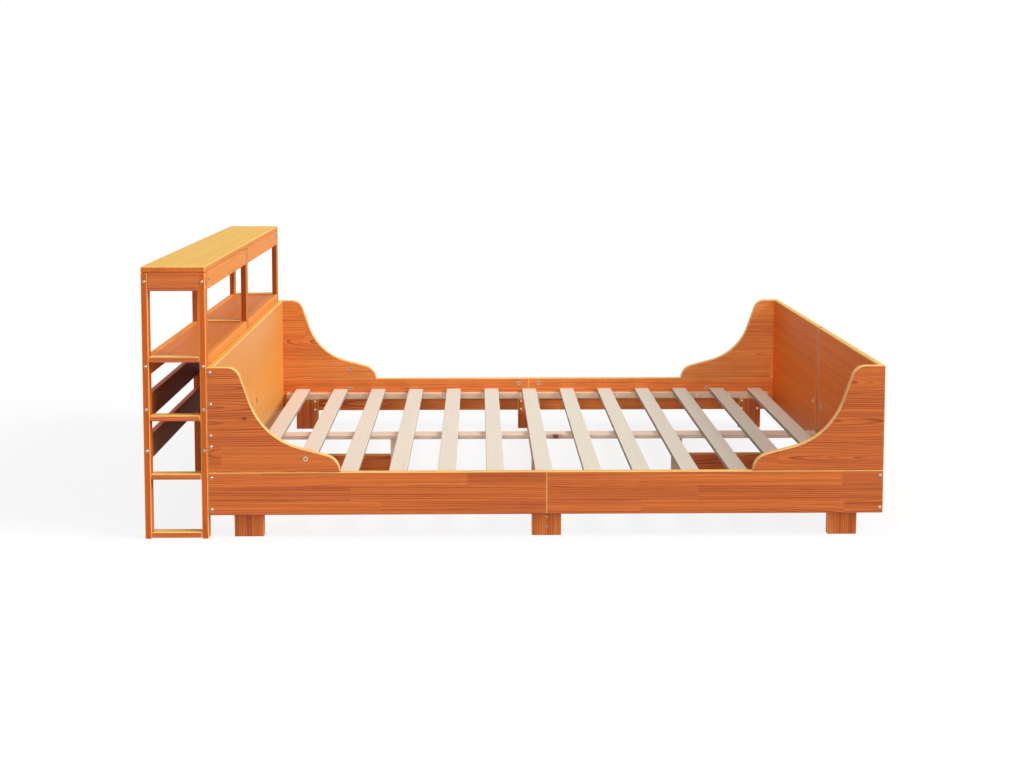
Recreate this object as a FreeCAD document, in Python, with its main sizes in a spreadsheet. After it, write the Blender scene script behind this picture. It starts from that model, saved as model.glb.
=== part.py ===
import FreeCAD, Part
import math
import os
import re
import Sketcher

# Bed with a bookcase behind its headboard, made of stained pine boards.
# +X runs from the bookcase to the footboard, +Y away from the near side, +Z up, in millimetres.
# The origin is on the floor, under the middle of the whole bed.

doc = FreeCAD.newDocument("bookcase_headboard_bed")
sheet = doc.addObject("Spreadsheet::Sheet", "Sizes")

sizes = {
    # Space for the mattress, and the stock that most pieces are cut from.
    "inner_length": 2010,
    "inner_width": 1410,
    "board": 20,
    "edge_round": 3.5,
    # Side rails, and the panels of the headboard and footboard.
    "rail_bottom": 72,
    "rail_height": 132,
    "panel_height": 227,
    "stile_width": 34,
    # Curved wings on the rails.
    "wing_length": 400,
    "wing_top_run": 58,
    "wing_shoulder": 45,
    "wing_steep": 71,
    "wing_sweep": 216,
    "wing_tail": 15,
    "wing_nose": 57,
    "wing_nose_drop": 3,
    # Slats, and what carries them.
    "deck_height": 147,
    "slat_count": 13,
    "slat_width": 57,
    "slat_thickness": 15,
    "slat_inset": 51.8,
    "slat_side_gap": 2,
    "slat_round": 2,
    "ledger_height": 24,
    "ledger_depth": 20,
    "ledger_head_gap": 15,
    "ledger_foot_gap": 22,
    "beam_width": 57,
    "beam_thickness": 15,
    "leg_length": 34,
    "leg_width": 41,
    "leg_inset": 485,
    "foot_width": 90.5,
    "foot_inset": 54,
    "cross_board_bottom": 7,
    "cross_board_height": 74,
    # Bookcase.
    "bookcase_depth": 192,
    "post_height": 812,
    "post_width": 34,
    "top_thickness": 18,
    "rung_count": 4,
    "rung_thickness": 18,
    "rung_first": 3,
    "rung_pitch": 179,
    "apron_height": 56,
    "shelf_rail_bottom": 499,
    "shelf_thickness": 18,
    "shelf_drop": 3,
    "back_board_height": 74,
    "upper_board_bottom": 367.5,
    "lower_board_bottom": 241.5,
    # Bolts, rods and barrel nuts.
    "bolt_radius": 3,
    "bolt_head_radius": 5.3,
    "bolt_crown_radius": 3.2,
    "bolt_head_height": 3,
    "bolt_socket": 2,
    "bolt_socket_depth": 2.1,
    "bolt_inset": 17,
    "bolt_rise": 28,
    "bolt_tip": 3,
    "bolt_space": 2,
    "nut_radius": 6.7,
    "nut_reach": 25,
    "nut_recess": 0.5,
    "nut_floor": 3,
    "nut_socket_radius": 4,
    "nut_socket_depth": 4,
    "rod_reach": 41,
    "rail_rod_drop": 21,
    "wing_rod_run": 275,
    "cross_bolt_spacing": 32,
    "lower_bolt_height": 45,
    # Half-moon connectors that draw the panels' halves together.
    "moon_radius": 14.5,
    "moon_depth": 14,
    "moon_flat": 2,
    "moon_drop": 45,
    "moon_reach": 44,
    # Screws and dowels.
    "screw_radius": 2,
    "screw_head_radius": 4,
    "screw_head_height": 2.4,
    "screw_length": 32,
    "slat_screw_length": 25,
    "slat_screw_side": 16,
    "foot_screw_side": 32,
    "foot_screw_top": 9,
    "foot_screw_spacing": 33,
    "ledger_screw_drop": 9,
    "ledger_screw_first": 35,
    "ledger_screw_pair": 133,
    "ledger_screw_inset": 183,
    "apron_screw_spacing": 34,
    "tie_screw_side": 7,
    "tie_screw_low": 230,
    "tie_screw_high": 450,
    "pilot_space": 1,
    "dowel_radius": 4,
    "dowel_depth": 15,
    "dowel_short": 9,
    "dowel_space": 1,
    "panel_dowel_inset": 150,
    "shelf_dowel_inset": 150,
    "apron_dowel_inset": 45,
    # Room between a hole and what sits in it.
    "fit": 0.3,
    "thread_fit": 0.1,
}

for row, (name, value) in enumerate(sizes.items(), start=1):
    sheet.set(f"A{row}", name)
    sheet.set(f"B{row}", str(value))
    sheet.setAlias(f"B{row}", name)
doc.recompute()

drill_lead = 1  # how far a drill starts outside the wood
feet_per_side = 3  # the middle ones stand where the rails' halves meet
ledger_screw_pairs = 3  # on each half of a ledger
outward = {"near": -1, "far": 1}  # side of the bed, and the way its outer faces point along Y

# Places along X. Each is a formula in the sheet's names.
# The bolt head on the footboard's outer face is the bed's farthest point, so the length includes it.
half_length = "((bookcase_depth + inner_length + 2 * board + bolt_head_height) / 2)"
back_face = f"(-{half_length})"
bookcase_front = f"({back_face} + bookcase_depth)"
head_face = f"({bookcase_front} + board)"
foot_face = f"({head_face} + inner_length)"
middle = f"({head_face} + inner_length / 2)"
bay_depth = "(bookcase_depth - 2 * board)"

# Places along Y and Z.
half_width = "(inner_width / 2 + board)"
bay_width = f"({half_width} - post_width - post_width / 2)"
rail_top = "(rail_bottom + rail_height)"
panel_split = "(rail_bottom + panel_height)"
panel_top = "(rail_bottom + 2 * panel_height)"
ledger_bottom = "(deck_height - ledger_height)"
beam_bottom = "(deck_height - beam_thickness)"
slat_pitch = "((inner_length - 2 * slat_inset - slat_width) / (slat_count - 1))"
foot_pitch = f"((inner_length - 2 * foot_inset - foot_width) / {feet_per_side - 1})"
ledger_screw_run = "(inner_length / 2 - ledger_screw_first - ledger_screw_pair - ledger_screw_inset)"
ledger_screw_pitch = f"({ledger_screw_run} / {ledger_screw_pairs - 1})"

sub_parts = {}
corner_of = {}
turned_bodies = set()
fasteners = {"bolts": [], "nuts": [], "screws": [], "dowels": []}


def tied(formula):
    """The formula with each of the sheet's names written as a reference to its cell."""
    return re.sub(r"[a-z]\w+", lambda word: "Sizes." + word[0] if word[0] in sizes else word[0], formula)


def bind(item, prop, formula):
    item.setExpression(prop, tied(formula))


def place(item, point):
    for axis, formula in zip("xyz", point):
        bind(item, f"Placement.Base.{axis}", formula)


def aim(direction):
    """The rotation that points a piece's own +Z along a direction."""
    return FreeCAD.Rotation(FreeCAD.Vector(0, 0, 1), FreeCAD.Vector(*direction))


def moved(point, direction, distance):
    """A point shifted along a direction, which lies along one of the axes."""
    pairs = zip(point, direction)
    return tuple(f"({base} + {step} * ({distance}))" if step else base for base, step in pairs)


def reverse(direction):
    return tuple(-step for step in direction)


def side_low(side, inset, width):
    """Lowest Y of a piece that starts at an inset from the bed's outer face and is so wide."""
    if side == "near":
        return f"(-{half_width} + ({inset}))"
    return f"({half_width} - ({inset}) - {width})"


def side_face(side, inset="0"):
    """Y of the plane at an inset from one side's outer face."""
    return f"({outward[side]} * ({half_width} - ({inset})))"


def keep(item, label):
    item.Label = label
    sub_parts[label] = item
    return item


# Edges of a box: round its bottom, round its top, and the four uprights between them.
box_edges = {"bottom": (4, 8, 9, 11), "top": (2, 6, 10, 12), "upright": (1, 3, 5, 7)}


def board(name, corner, size, rounding="edge_round", rounded=("bottom", "top", "upright")):
    """A board from its lowest corner and its size, with rounded edges except where it meets its twin."""
    body = doc.addObject("PartDesign::Body", name)
    body.AllowCompound = True
    blank = body.newObject("PartDesign::AdditiveBox", name + "_blank")
    for prop, formula in zip(("Length", "Width", "Height"), size):
        bind(blank, prop, formula)
    edges = body.newObject("PartDesign::Fillet", name + "_edges")
    edges.Base = (blank, [f"Edge{number}" for group in rounded for number in box_edges[group]])
    bind(edges, "Radius", rounding)
    place(body, corner)
    corner_of[body.Name] = corner
    return body


def drill(body, start, direction, radius, depth):
    """A round hole from a point on the wood's surface, given in the bed's frame."""
    hole = body.newObject("PartDesign::SubtractiveCylinder", body.Name + "_hole")
    hole.Refine = False
    bind(hole, "Radius", radius)
    bind(hole, "Height", f"{depth} + {drill_lead}")
    turn = -1 if body.Name in turned_bodies else 1
    own = (turn * direction[0], turn * direction[1], direction[2])
    hole.Placement = FreeCAD.Placement(FreeCAD.Vector(), aim(own))
    outside = moved(start, reverse(direction), str(drill_lead))
    for axis, sign, point, corner in zip("xyz", (turn, turn, 1), outside, corner_of[body.Name]):
        bind(hole, f"Placement.Base.{axis}", f"{sign} * ({point} - {corner})")
    return hole


def countersink(body, start, direction):
    """A screw's hole through a board, with the cone that its head sinks into."""
    cone = body.newObject("PartDesign::SubtractiveCone", body.Name + "_sink")
    bind(cone, "Radius1", "screw_head_radius + thread_fit")
    bind(cone, "Radius2", "screw_radius + thread_fit")
    bind(cone, "Height", "screw_head_height")
    cone.Placement = FreeCAD.Placement(FreeCAD.Vector(), aim(direction))
    for axis, point, corner in zip("xyz", start, corner_of[body.Name]):
        bind(cone, f"Placement.Base.{axis}", f"{point} - {corner}")
    return cone


def origin_feature(body, role):
    return next(item for item in body.Origin.OriginFeatures if item.Role == role)


def row_of(body, role, pitch, count, originals=()):
    """Repeats chosen holes, or else the whole body, at a pitch along one of its own axes."""
    whole = [body.Tip]
    pattern = body.newObject("PartDesign::LinearPattern", body.Name + "_row")
    pattern.TransformMode = "Features" if originals else "Whole shape"
    pattern.Originals = list(originals) or whole
    pattern.Direction = (origin_feature(body, role), [""])
    bind(pattern, "Length", f"{pitch} * ({count} - 1)")
    bind(pattern, "Occurrences", count)
    body.Tip = pattern
    return pattern


def solid_of_revolution(name, pieces):
    """A fastener standing on the origin, its shank along +Z, from cones and cylinders."""
    body = doc.addObject("PartDesign::Body", name)
    for kind, values in pieces:
        piece = body.newObject("PartDesign::" + kind, name + "_piece")
        for prop, formula in values.items():
            bind(piece, prop, formula)
    return body


def add_copy(group, master, point, rotation):
    link = doc.addObject("App::Link", master.Name + "_copy")
    link.setLink(master)
    link.Placement = FreeCAD.Placement(FreeCAD.Vector(), rotation)
    place(link, point)
    fasteners[group].append(link)


def bolt_master(name, grip):
    """A bolt with a low domed head and a hexagon socket. Its shank passes a board and a nut."""
    head = {"Radius1": "bolt_crown_radius", "Radius2": "bolt_head_radius", "Height": "bolt_head_height"}
    head["Placement.Base.z"] = "-bolt_head_height"
    shank = {"Radius": "bolt_radius", "Height": f"{grip} + nut_reach + nut_radius + bolt_tip"}
    body = solid_of_revolution(name, [("AdditiveCone", head), ("AdditiveCylinder", shank)])
    socket = body.newObject("PartDesign::SubtractivePrism", name + "_socket")
    socket.Polygon = 6
    bind(socket, "Circumradius", "bolt_socket")
    bind(socket, "Height", "bolt_socket_depth")
    bind(socket, "Placement.Base.z", "-bolt_head_height")
    return body


def nut_master():
    """A barrel nut: its bore crosses it at the middle of a board, and its face has a round socket."""
    long = "(board - nut_floor - 2 * nut_recess)"
    barrel = {"Radius": "nut_radius", "Height": long, "Placement.Base.z": "nut_recess"}
    body = solid_of_revolution("barrel_nut", [("AdditiveCylinder", barrel)])
    bore = body.newObject("PartDesign::SubtractiveCylinder", "barrel_nut_bore")
    bind(bore, "Radius", "bolt_radius + thread_fit")
    bind(bore, "Height", "4 * nut_radius")
    bore.Placement = FreeCAD.Placement(FreeCAD.Vector(), aim((1, 0, 0)))
    bind(bore, "Placement.Base.x", "-2 * nut_radius")
    bind(bore, "Placement.Base.z", "board / 2")
    socket = body.newObject("PartDesign::SubtractiveCylinder", "barrel_nut_socket")
    bind(socket, "Radius", "nut_socket_radius")
    bind(socket, "Height", "nut_socket_depth")
    bind(socket, "Placement.Base.z", "nut_recess")
    return body


def moon_master():
    """A half-moon nut, round towards the joint at its own -X, with the rod's bore along X."""
    deep = "(moon_depth - nut_recess - fit)"
    disc = {"Radius": "moon_radius - fit", "Height": deep, "Placement.Base.z": "nut_recess"}
    body = solid_of_revolution("half_moon_nut", [("AdditiveCylinder", disc)])
    flat = body.newObject("PartDesign::SubtractiveBox", "half_moon_nut_flat")
    bind(flat, "Length", "2 * moon_radius")
    bind(flat, "Width", "2 * moon_radius")
    bind(flat, "Height", "2 * moon_depth")
    bind(flat, "Placement.Base.x", "-moon_flat")
    bind(flat, "Placement.Base.y", "-moon_radius")
    bind(flat, "Placement.Base.z", "-moon_depth / 2")
    bore = body.newObject("PartDesign::SubtractiveCylinder", "half_moon_nut_bore")
    bind(bore, "Radius", "bolt_radius + thread_fit")
    bind(bore, "Height", "4 * moon_radius")
    bore.Placement = FreeCAD.Placement(FreeCAD.Vector(), aim((1, 0, 0)))
    bind(bore, "Placement.Base.x", "-2 * moon_radius")
    bind(bore, "Placement.Base.z", "board / 2")
    return body


def screw_master(name, length):
    """A countersunk wood screw, its head flush at the origin."""
    head = {"Radius1": "screw_head_radius", "Radius2": "screw_radius", "Height": "screw_head_height"}
    shank = {"Radius": "screw_radius", "Height": length}
    return solid_of_revolution(name, [("AdditiveCone", head), ("AdditiveCylinder", shank)])


thin_bolt = bolt_master("board_bolt", "board")
deep_bolt = bolt_master("post_bolt", "post_width")
barrel_nut = nut_master()
half_moon_nut = moon_master()
long_screw = screw_master("board_screw", "screw_length")
short_screw = screw_master("slat_screw", "slat_screw_length")


def nut_in(wood, centre, mouth, inward, bolt_way):
    """A barrel nut on a bolt's line, drilled into a board from the face at its mouth."""
    point = tuple(mouth if step else base for base, step in zip(centre, inward))
    drill(wood, point, inward, "nut_radius + fit", "board - nut_floor")
    x_way = FreeCAD.Vector(*bolt_way)
    z_way = FreeCAD.Vector(*inward)
    rotation = FreeCAD.Rotation(x_way, z_way.cross(x_way), z_way, "ZXY")
    add_copy("nuts", barrel_nut, point, rotation)


def bolted(head, way, through, grip, master, into, mouth, inward):
    """A bolt through one board into the end of another, and the barrel nut that holds it there."""
    drill(through, head, way, "bolt_radius + fit", f"({grip} + {drill_lead})")
    end = moved(head, way, grip)
    drill(into, end, way, "bolt_radius + fit", "(nut_reach + nut_radius + bolt_tip + bolt_space)")
    add_copy("bolts", master, head, aim(way))
    nut_in(into, moved(end, way, "nut_reach"), mouth, inward, way)


def rod_between(joint, way, first, second, reach, spare):
    """A threaded rod across a joint, as far as a nut's centre and a little more on each side."""
    for wood, direction in ((first, reverse(way)), (second, way)):
        drill(wood, joint, direction, "bolt_radius + fit", f"({reach} + {spare} + bolt_space)")
    rod = doc.addObject("Part::Cylinder", "rod")
    bind(rod, "Radius", "bolt_radius")
    bind(rod, "Height", f"2 * ({reach} + {spare})")
    rod.Placement = FreeCAD.Placement(FreeCAD.Vector(), aim(way))
    place(rod, moved(joint, reverse(way), f"({reach} + {spare})"))
    fasteners["bolts"].append(rod)


def pilot(wood, point, way, depth):
    """The hole that a screw's tip turns into, a little deeper than the tip reaches."""
    return drill(wood, point, way, "screw_radius + thread_fit", f"({depth} + pilot_space)")


def screwed(head, way, through, thick, into, length="screw_length"):
    """A countersunk screw through one board into the next."""
    countersink(through, head, way)
    drill(through, head, way, "screw_radius + thread_fit", f"({thick} + {drill_lead})")
    pilot(into, moved(head, way, thick), way, f"{length} - {thick}")
    add_copy("screws", long_screw, head, aim(way))


def dowelled(joint, way, first, second, first_depth="dowel_depth", second_depth="dowel_depth"):
    """A dowel across the joint between two boards, with room for glue at its ends."""
    drill(first, joint, reverse(way), "dowel_radius + thread_fit", first_depth)
    drill(second, joint, way, "dowel_radius + thread_fit", second_depth)
    pin = doc.addObject("Part::Cylinder", "dowel")
    bind(pin, "Radius", "dowel_radius")
    bind(pin, "Height", f"{first_depth} + {second_depth} - dowel_space")
    pin.Placement = FreeCAD.Placement(FreeCAD.Vector(), aim(way))
    place(pin, moved(joint, reverse(way), f"({first_depth} - dowel_space / 2)"))
    fasteners["dowels"].append(pin)


def grouped(label, pieces):
    group = doc.addObject("Part::Compound", label)
    group.Links = pieces
    return keep(group, label)


# Headboard and footboard: four panels each, and the stile in the footboard.
# A lower and an upper panel meet in a plain tight joint, so their other edges are the rounded ones.

across = {"near": (0, 1, 0), "far": (0, -1, 0)}  # from each side's outer face towards the middle
panel_levels = {
    "lower": ("rail_bottom", ("bottom", "upright")),
    "upper": (panel_split, ("top", "upright")),
}
panels = {}
for end, low_x, half_stile in (("head", bookcase_front, "0"), ("foot", foot_face, "stile_width / 2")):
    for side in outward:
        long = f"(inner_width / 2 - {half_stile})"
        for level, (bottom, rounded) in panel_levels.items():
            name = f"{end}board_{level}_{side}"
            corner = (low_x, side_low(side, "board", long), bottom)
            panel = board(name, corner, ("board", long, "panel_height"), rounded=rounded)
            panels[end, level, side] = keep(panel, name)
        joint_x = f"({low_x} + board / 2)"
        inner_y = f"{outward[side]} * (panel_dowel_inset + {half_stile})"
        for y in (side_face(side, "board + panel_dowel_inset"), inner_y):
            seat = (joint_x, y, panel_split)
            dowelled(seat, (0, 0, 1), panels[end, "lower", side], panels[end, "upper", side])

stile = board("footboard_stile", (foot_face, "-stile_width / 2", "0"), ("board", "stile_width", panel_top))
keep(stile, "footboard_stile")

# Side rails, in two halves that meet at the middle.

rails = {}
rail_long = "(inner_length / 2 + board)"
for side in outward:
    for end, low_x in (("head", bookcase_front), ("foot", middle)):
        name = f"side_rail_{side}_{end}"
        corner = (low_x, side_low(side, "0", "board"), "rail_bottom")
        rails[side, end] = keep(board(name, corner, (rail_long, "board", "rail_height")), name)

# Wings: one curved outline, cut four times.


def wing_outline(body):
    """The wing's outline in its own XZ plane: level top, rounded shoulder, long sweep and round nose."""
    tall = float(2 * sizes["panel_height"] - sizes["rail_height"])
    steep = math.radians(sizes["wing_steep"])
    tail = math.radians(sizes["wing_tail"])
    top_run, shoulder, sweep = sizes["wing_top_run"], sizes["wing_shoulder"], sizes["wing_sweep"]
    nose, drop, long = sizes["wing_nose"], sizes["wing_nose_drop"], sizes["wing_length"]

    def polar(centre, radius, angle):
        return FreeCAD.Vector(centre.x + radius * math.cos(angle), centre.y + radius * math.sin(angle), 0)

    def arc(centre, radius, start, stop):
        return Part.ArcOfCircle(Part.Circle(centre, FreeCAD.Vector(0, 0, 1), radius), start, stop)

    quarter = math.pi / 2
    nose_low = math.asin(drop / nose)
    shoulder_centre = FreeCAD.Vector(top_run, tall - shoulder, 0)
    nose_centre = FreeCAD.Vector(long - nose * math.cos(nose_low), -drop, 0)
    shoulder_end = polar(shoulder_centre, shoulder, quarter - steep)
    nose_start = polar(nose_centre, nose, quarter - tail)
    # The sweep's centre lies at its radius from both straight runs.
    steep_normal = FreeCAD.Vector(math.sin(steep), math.cos(steep), 0)
    tail_normal = FreeCAD.Vector(math.sin(tail), math.cos(tail), 0)
    reach_steep = shoulder_end.dot(steep_normal) + sweep
    reach_tail = nose_start.dot(tail_normal) + sweep
    spread = steep_normal.x * tail_normal.y - steep_normal.y * tail_normal.x
    sweep_centre = FreeCAD.Vector(
        (reach_steep * tail_normal.y - reach_tail * steep_normal.y) / spread,
        (steep_normal.x * reach_tail - tail_normal.x * reach_steep) / spread,
        0,
    )
    sweep_start = sweep_centre - steep_normal * sweep
    sweep_end = sweep_centre - tail_normal * sweep

    sketch = body.newObject("Sketcher::SketchObject", body.Name + "_outline")
    sketch.AttachmentSupport = (origin_feature(body, "XZ_Plane"), [""])
    sketch.MapMode = "FlatFace"
    zero = FreeCAD.Vector()
    top_left = FreeCAD.Vector(0, tall, 0)
    nose_tip = FreeCAD.Vector(long, 0, 0)
    left, top, shoulder_arc, steep_line, sweep_arc, tail_line, nose_arc, bottom = range(8)
    sketch.addGeometry(Part.LineSegment(zero, top_left))
    sketch.addGeometry(Part.LineSegment(top_left, FreeCAD.Vector(top_run, tall, 0)))
    sketch.addGeometry(arc(shoulder_centre, shoulder, quarter - steep, quarter))
    sketch.addGeometry(Part.LineSegment(shoulder_end, sweep_start))
    sketch.addGeometry(arc(sweep_centre, sweep, 3 * quarter - steep, 3 * quarter - tail))
    sketch.addGeometry(Part.LineSegment(sweep_end, nose_start))
    sketch.addGeometry(arc(nose_centre, nose, nose_low, quarter - tail))
    sketch.addGeometry(Part.LineSegment(nose_tip, zero))
    start, end, centre = 1, 2, 3
    origin_point = (-1, 1)
    rules = [
        ("Coincident", left, start, *origin_point),
        ("Coincident", left, end, top, start),
        ("Tangent", top, end, shoulder_arc, end),
        ("Tangent", shoulder_arc, start, steep_line, start),
        ("Tangent", steep_line, end, sweep_arc, start),
        ("Tangent", sweep_arc, end, tail_line, start),
        ("Tangent", tail_line, end, nose_arc, end),
        ("Coincident", nose_arc, start, bottom, start),
        ("Coincident", bottom, end, left, start),
        ("Vertical", left),
        ("Horizontal", top),
        ("Horizontal", bottom),
    ]
    for rule in rules:
        sketch.addConstraint(Sketcher.Constraint(*rule))
    dimensions = [
        (("DistanceY", left, start, left, end, tall), "2 * panel_height - rail_height"),
        (("DistanceX", top, start, top, end, float(top_run)), "wing_top_run"),
        (("DistanceX", bottom, end, bottom, start, float(long)), "wing_length"),
        (("DistanceY", nose_arc, centre, *origin_point, float(drop)), "wing_nose_drop"),
        (("Radius", shoulder_arc, float(shoulder)), "wing_shoulder"),
        (("Radius", sweep_arc, float(sweep)), "wing_sweep"),
        (("Radius", nose_arc, float(nose)), "wing_nose"),
        (("Angle", steep_line, -steep), "-wing_steep * 1 deg"),
        (("Angle", tail_line, -tail), "-wing_tail * 1 deg"),
    ]
    for values, formula in dimensions:
        index = sketch.addConstraint(Sketcher.Constraint(*values))
        bind(sketch, f"Constraints[{index}]", formula)
    return sketch


def wing(name, corner, turned):
    body = doc.addObject("PartDesign::Body", name)
    outline = wing_outline(body)
    plate = body.newObject("PartDesign::Pad", name + "_plate")
    plate.Profile = outline
    plate.Reversed = True
    bind(plate, "Length", "board")
    edges = body.newObject("PartDesign::Fillet", name + "_edges")
    edges.Base = (plate, ["Face1"])
    edges.UseAllEdges = True
    bind(edges, "Radius", "edge_round")
    if turned:
        body.Placement = FreeCAD.Placement(FreeCAD.Vector(), FreeCAD.Rotation(180, 0, 0))
        turned_bodies.add(body.Name)
    place(body, corner)
    corner_of[body.Name] = corner
    return keep(body, name)


wings = {}
for side in outward:
    low_y = side_low(side, "0", "board")
    wings[side, "head"] = wing(f"wing_{side}_head", (bookcase_front, low_y, rail_top), turned=False)
    foot_corner = (f"({foot_face} + board)", f"({low_y} + board)", rail_top)
    wings[side, "foot"] = wing(f"wing_{side}_foot", foot_corner, turned=True)

# Bolts, rods and dowels of the frame.

panel_mid = {"head": f"({bookcase_front} + board / 2)", "foot": f"({foot_face} + board / 2)"}
panel_back = {"head": (bookcase_front, (1, 0, 0)), "foot": (f"({foot_face} + board)", (-1, 0, 0))}
for side, way in across.items():
    outer = side_face(side)
    for z, level in (
        (f"({panel_top} - bolt_inset)", "upper"),
        (f"({panel_split} + panel_height / 2)", "upper"),
        (f"({panel_split} + bolt_inset)", "upper"),
        (f"({panel_split} - bolt_inset)", "lower"),
    ):
        head = (panel_mid["head"], outer, z)
        panel = panels["head", level, side]
        bolted(head, way, wings[side, "head"], "board", thin_bolt, panel, *panel_back["head"])
        seat = (panel_mid["foot"], side_face(side, "board"), z)
        dowelled(seat, way, wings[side, "foot"], panels["foot", level, side], "dowel_short", "dowel_depth")
    for end in ("head", "foot"):
        panel = panels[end, "lower", side]
        for z in (f"({rail_top} - bolt_inset)", "(rail_bottom + bolt_inset)"):
            head = (panel_mid[end], outer, z)
            bolted(head, way, rails[side, end], "board", thin_bolt, panel, *panel_back[end])

nut_spare = "(nut_radius + bolt_tip)"
for side, way in across.items():
    rail_mid = side_face(side, "board / 2")
    rail_inner = side_face(side, "board")
    joint = (middle, rail_mid, f"({rail_top} - rail_rod_drop)")
    rod_between(joint, (1, 0, 0), rails[side, "head"], rails[side, "foot"], "rod_reach", nut_spare)
    for end, step in (("head", (-1, 0, 0)), ("foot", (1, 0, 0))):
        nut_in(rails[side, end], moved(joint, step, "rod_reach"), rail_inner, reverse(way), step)
    # A rod through each wing's foot, with a nut in the wing and one in the rail.
    for end, x in (("head", f"({head_face} + wing_rod_run)"), ("foot", f"({foot_face} - wing_rod_run)")):
        joint = (x, rail_mid, rail_top)
        rod_between(joint, (0, 0, 1), rails[side, end], wings[side, end], "rod_reach", nut_spare)
        nut_in(rails[side, end], moved(joint, (0, 0, -1), "rod_reach"), rail_inner, reverse(way), (0, 0, 1))
        # The wing's nut opens on its own -Y face, which a turned wing shows the other way.
        open_way = (0, 1, 0) if end == "head" else (0, -1, 0)
        mouth = f"({rail_mid} - {open_way[1]} * board / 2)"
        nut_in(wings[side, end], moved(joint, (0, 0, 1), "rod_reach"), mouth, open_way, (0, 0, 1))

# Half-moon connectors draw the near and far lower panels together.
moon_z = f"({panel_split} - moon_drop)"
for end, face, inward, half_gap in (
    ("head", head_face, (-1, 0, 0), "0"),
    ("foot", foot_face, (1, 0, 0), "stile_width / 2"),
):
    reach = f"({half_gap} + moon_reach)"
    seam = (panel_mid[end], "0", moon_z)
    near, far = panels[end, "lower", "near"], panels[end, "lower", "far"]
    rod_between(seam, (0, 1, 0), near, far, reach, "bolt_tip")
    for wood, way in ((near, (0, -1, 0)), (far, (0, 1, 0))):
        point = (face, f"({way[1]} * {reach})", moon_z)
        drill(wood, point, inward, "moon_radius", "moon_depth")
        x_way = FreeCAD.Vector(*way)
        z_way = FreeCAD.Vector(*inward)
        add_copy("nuts", half_moon_nut, point, FreeCAD.Rotation(x_way, z_way.cross(x_way), z_way, "ZXY"))
stile_side = (panel_mid["foot"], "-stile_width / 2", moon_z)
drill(stile, stile_side, (0, 1, 0), "bolt_radius + fit", f"(stile_width + {drill_lead})")

# Feet, ledgers, centre beam and slats.

feet = {}
for side in outward:
    name = f"feet_{side}"
    corner = (f"({head_face} + foot_inset)", side_low(side, "board", "board"), "0")
    feet[side] = board(name, corner, ("foot_width", "board", ledger_bottom))

ledgers = {}
for side in outward:
    low_y = side_low(side, "board", "ledger_depth")
    for end, low_x, long in (
        ("head", f"({head_face} + ledger_head_gap)", "(inner_length / 2 - ledger_head_gap)"),
        ("foot", middle, "(inner_length / 2 - ledger_foot_gap)"),
    ):
        corner = (low_x, low_y, ledger_bottom)
        size = (long, "ledger_depth", "ledger_height")
        ledgers[side, end] = board(f"ledger_{side}_{end}", corner, size, "slat_round")

beam_corner = (head_face, "-beam_width / 2", beam_bottom)
beam = board("centre_beam", beam_corner, ("inner_length", "beam_width", "beam_thickness"), "slat_round")
keep(beam, "centre_beam")

legs = {}
for name, low_x in (
    ("head", f"({head_face} + leg_inset)"),
    ("middle", f"({middle} - leg_length / 2)"),
    ("foot", f"({foot_face} - leg_inset - leg_length)"),
):
    corner = (low_x, "-leg_width / 2", "0")
    legs[name] = board(f"beam_leg_{name}", corner, ("leg_length", "leg_width", beam_bottom))
    joint = (f"({low_x} + leg_length / 2)", "0", beam_bottom)
    dowelled(joint, (0, 0, 1), legs[name], beam, "dowel_depth", "dowel_short")

lower_boards = {
    "head": board(
        "lower_board_head",
        (bookcase_front, "-board / 2", "0"),
        ("(leg_inset + board)", "board", "rail_bottom"),
    ),
    "foot": board(
        "lower_board_foot",
        (f"({foot_face} - leg_inset)", "-board / 2", "0"),
        ("leg_inset", "board", "rail_bottom"),
    ),
}
cross_long = f"({half_width} - 2 * board - leg_width / 2)"
cross_boards = {}
for side in outward:
    corner = (f"({middle} - board / 2)", side_low(side, "2 * board", cross_long), "cross_board_bottom")
    cross_boards[side] = board(f"cross_board_{side}", corner, ("board", cross_long, "cross_board_height"))

slat_corner = (f"({head_face} + slat_inset)", side_low("near", "(board + slat_side_gap)", "0"), "deck_height")
slat_long = "(inner_width - 2 * slat_side_gap)"
slats = board("slats", slat_corner, ("slat_width", slat_long, "slat_thickness"), "slat_round")

# Two screws, side by side, hold each slat to the beam.
first_slat = f"({head_face} + slat_inset + slat_width / 2)"
deck_top = "(deck_height + slat_thickness)"
down = (0, 0, -1)
for step in (-1, 1):
    x = f"({first_slat} + {step} * slat_screw_side)"
    countersink(slats, (x, "0", deck_top), down)
    drill(slats, (x, "0", deck_top), down, "screw_radius + thread_fit", f"slat_thickness + {drill_lead}")
    hole = pilot(beam, (x, "0", "deck_height"), down, "slat_screw_length - slat_thickness")
    row_of(beam, "X_Axis", slat_pitch, "slat_count", [hole])
    for index in range(sizes["slat_count"]):
        place_at = (f"({x} + {index} * {slat_pitch})", "0", deck_top)
        add_copy("screws", short_screw, place_at, aim(down))
row_of(slats, "X_Axis", slat_pitch, "slat_count")
keep(slats, "slats")

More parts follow.
